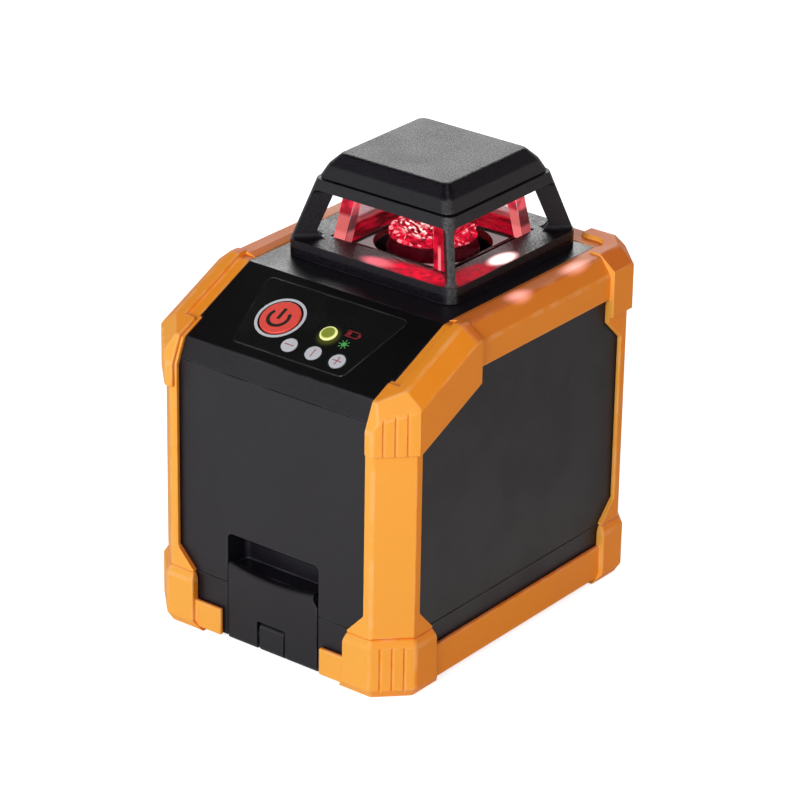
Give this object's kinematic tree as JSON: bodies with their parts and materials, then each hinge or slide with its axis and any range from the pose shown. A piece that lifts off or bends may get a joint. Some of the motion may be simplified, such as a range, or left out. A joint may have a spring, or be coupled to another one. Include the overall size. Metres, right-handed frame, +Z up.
{
  "type": "laser_level",
  "caption": "Self-levelling line laser with a black body, orange rubber bumpers, a sloped keypad, a glazed turret over a cone prism on a gimballed pendulum, and a battery flap.",
  "frame": {"origin": "middle of the underside of the feet", "axes": "X to the right seen from the front, Y from the front flap to the rear, Z up"},
  "size_m": [0.098, 0.125, 0.1405],
  "materials": {
    "black_plastic": "fine grained moulded plastic",
    "orange_rubber": "smooth moulded rubber",
    "window_glass": "clear polished glass",
    "prism_glass": "clear polished prism",
    "seal_rubber": "soft black seal",
    "film_plastic": "matt printed film",
    "lamp_plastic": "tinted clear plastic",
    "red_plastic": "satin red",
    "grey_plastic": "satin light grey",
    "board_laminate": "green solder mask",
    "cell_wrap": "shrink film over the can",
    "screw_steel": "zinc plated",
    "bearing_steel": "ground steel",
    "cast_aluminium": "bead blasted casting",
    "magnet_plating": "nickel plated",
    "insert_brass": "machined brass",
    "damper_copper": "bare copper"
  },
  "bodies": {
    "case": {"base_shell": "black_plastic", "main_housing": "black_plastic", "top_cover": "black_plastic", "upper_bumper": "orange_rubber", "lower_bumper": "orange_rubber", "turret_frame": "black_plastic", "turret_cap": "black_plastic", "window_front": "window_glass", "window_rear": "window_glass", "window_left": "window_glass", "window_right": "window_glass", "window_gasket": "seal_rubber", "keypad_overlay": "film_plastic", "status_lens": "lamp_plastic", "status_led": "lamp_plastic", "control_board": "board_laminate", "tact_switches": "film_plastic", "board_screws": "screw_steel", "door_hinge_pin": "screw_steel", "battery_cells": "cell_wrap", "battery_springs": "screw_steel", "gimbal_frame": "cast_aluminium", "gimbal_frame_screws": "screw_steel", "roll_bearings": "bearing_steel", "damping_magnets": "magnet_plating", "case_screws": "screw_steel", "cover_screws": "screw_steel", "turret_screws": "screw_steel", "tripod_insert": "insert_brass", "base_seal": "seal_rubber"},
    "power_button": {"power_button": "red_plastic"},
    "horizontal_key": {"horizontal_key": "grey_plastic"},
    "vertical_key": {"vertical_key": "grey_plastic"},
    "cross_key": {"cross_key": "grey_plastic"},
    "battery_door": {"battery_door": "black_plastic", "door_contact": "screw_steel"},
    "gimbal_ring": {"gimbal_ring": "cast_aluminium", "roll_pins": "bearing_steel", "pitch_bearings": "bearing_steel"},
    "pendulum": {"pendulum_body": "cast_aluminium", "pitch_pins": "bearing_steel", "pendulum_weight": "insert_brass", "weight_screw": "screw_steel", "damping_plate": "damper_copper", "laser_module": "insert_brass", "collimating_lens": "window_glass", "calibration_screws": "screw_steel", "prism_holder": "black_plastic", "cone_prism": "prism_glass"}
  },
  "joints": [
    {"name": "power_button_press", "type": "slide", "parent": "case", "child": "power_button", "axis": [0, 0.4147, -0.91], "range_m": [0, 0.0008], "stiffness_N_per_m": 1500},
    {"name": "horizontal_key_press", "type": "slide", "parent": "case", "child": "horizontal_key", "axis": [0, 0.4147, -0.91], "range_m": [0, 0.0005], "stiffness_N_per_m": 1500},
    {"name": "vertical_key_press", "type": "slide", "parent": "case", "child": "vertical_key", "axis": [0, 0.4147, -0.91], "range_m": [0, 0.0005], "stiffness_N_per_m": 1500},
    {"name": "cross_key_press", "type": "slide", "parent": "case", "child": "cross_key", "axis": [0, 0.4147, -0.91], "range_m": [0, 0.0005], "stiffness_N_per_m": 1500},
    {"name": "battery_door_hinge", "type": "hinge", "parent": "case", "child": "battery_door", "pos_m": [0, -0.0565, 0.0044], "axis": [1, 0, 0], "range_deg": [0, 88]},
    {"name": "gimbal_roll", "type": "hinge", "parent": "case", "child": "gimbal_ring", "pos_m": [0, 0.016, 0.084], "axis": [0, 1, 0], "range_deg": [-4, 4]},
    {"name": "pendulum_pitch", "type": "hinge", "parent": "gimbal_ring", "child": "pendulum", "pos_m": [0, 0.016, 0.084], "axis": [1, 0, 0], "range_deg": [-4, 4]}
  ]
}
